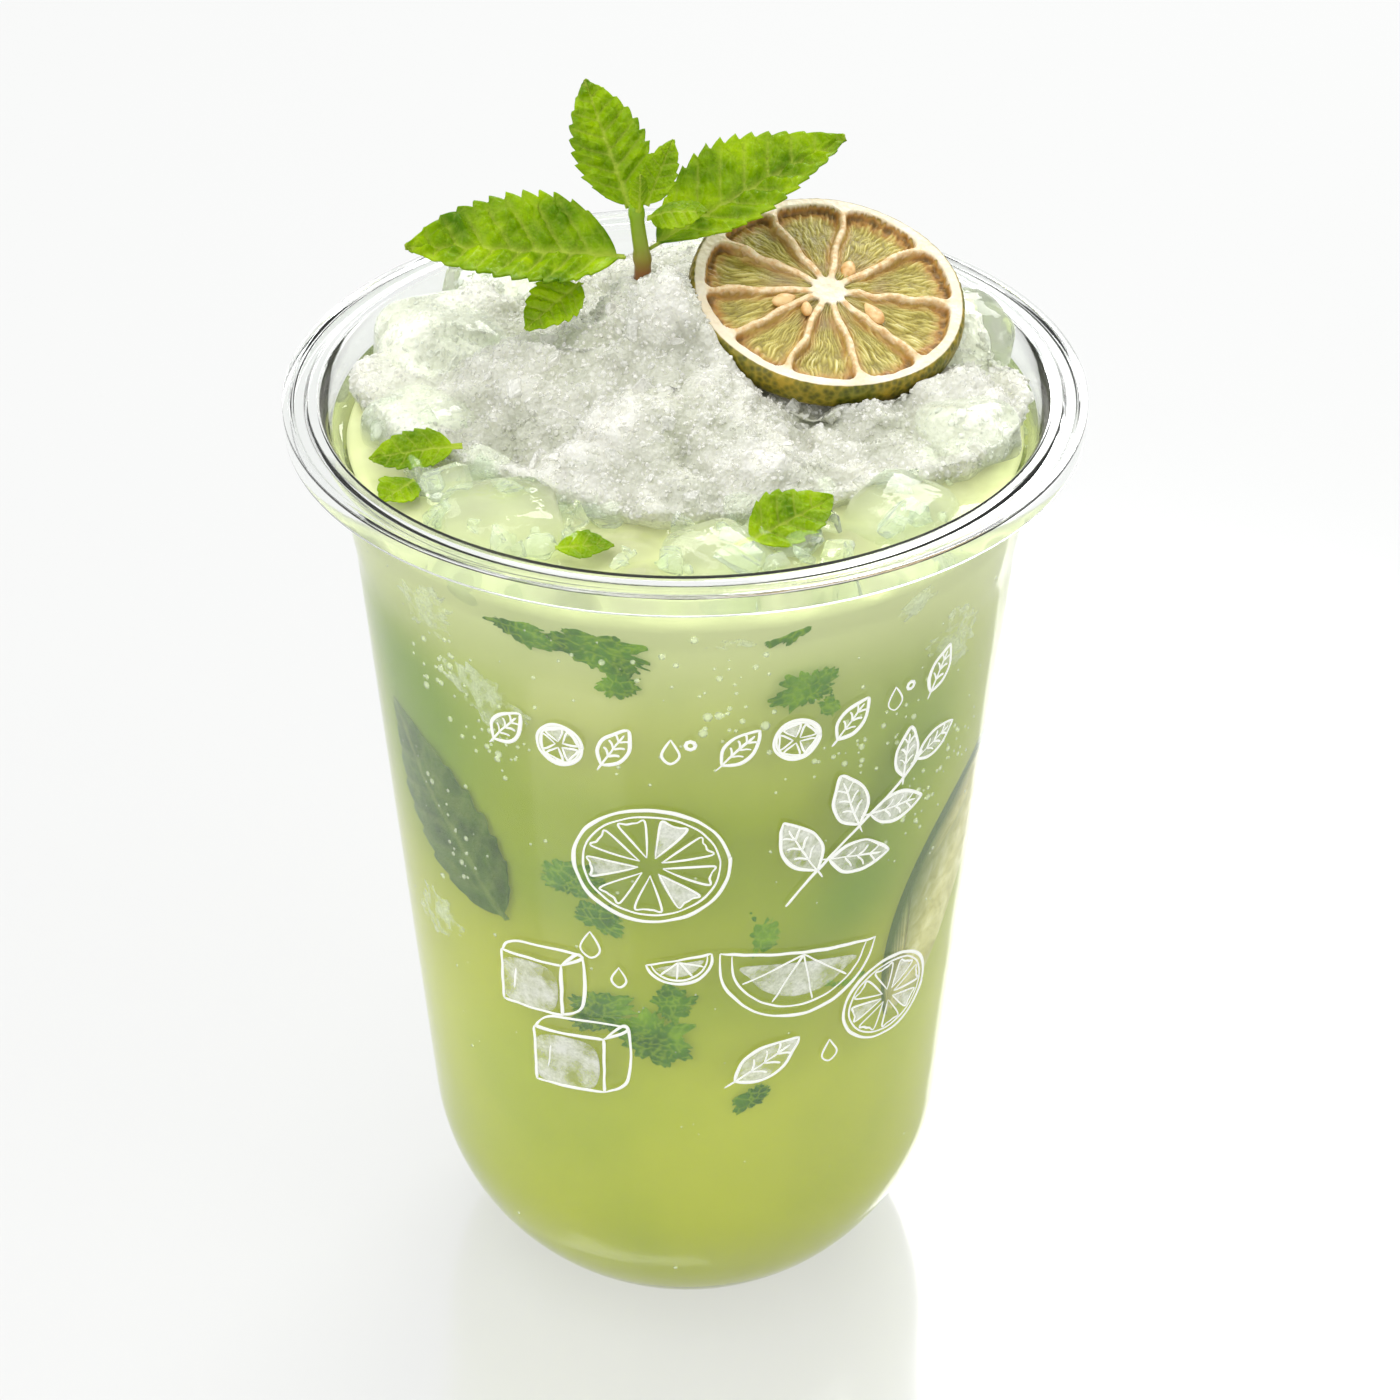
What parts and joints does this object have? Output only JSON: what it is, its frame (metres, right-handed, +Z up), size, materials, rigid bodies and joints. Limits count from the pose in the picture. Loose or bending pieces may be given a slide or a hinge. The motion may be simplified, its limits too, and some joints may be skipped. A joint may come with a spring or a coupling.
{
  "type": "mojito cocktail",
  "caption": "Iced lime and mint long drink in a clear U-shaped cup, topped with crushed ice, a mint sprig and a dried lime slice.",
  "frame": {"origin": "middle of the cup's foot ring, on the surface the cup stands on", "axes": "+Z up along the cup's axis, +X to the right and -Y towards the viewer of the printed front; the lime slice leans at +X and the mint sprig stands at -X, +Y"},
  "size_m": [0.095, 0.095, 0.1545],
  "materials": {
    "clear_cup": "clear gloss, moulded",
    "lime_drink": "cloudy liquid",
    "crushed_ice": "wet, granular",
    "dried_lime": "dry, wrinkled",
    "mint_stem": "satin",
    "mint_leaf": "satin, veined"
  },
  "bodies": {
    "root": {"cup": "clear_cup", "drink": "lime_drink", "ice_heap": "crushed_ice", "lime_slice": "dried_lime", "mint_stem": "mint_stem", "mint_leaf_left": "mint_leaf", "mint_leaf_right": "mint_leaf", "mint_leaf_top": "mint_leaf", "mint_leaf_side": "mint_leaf", "mint_leaf_curl": "mint_leaf", "mint_leaf_bud": "mint_leaf", "mint_leaf_low": "mint_leaf", "mint_leaf_float_left": "mint_leaf", "mint_leaf_float_edge": "mint_leaf", "mint_leaf_float_right": "mint_leaf", "mint_leaf_float_front": "mint_leaf"}
  },
  "joints": []
}
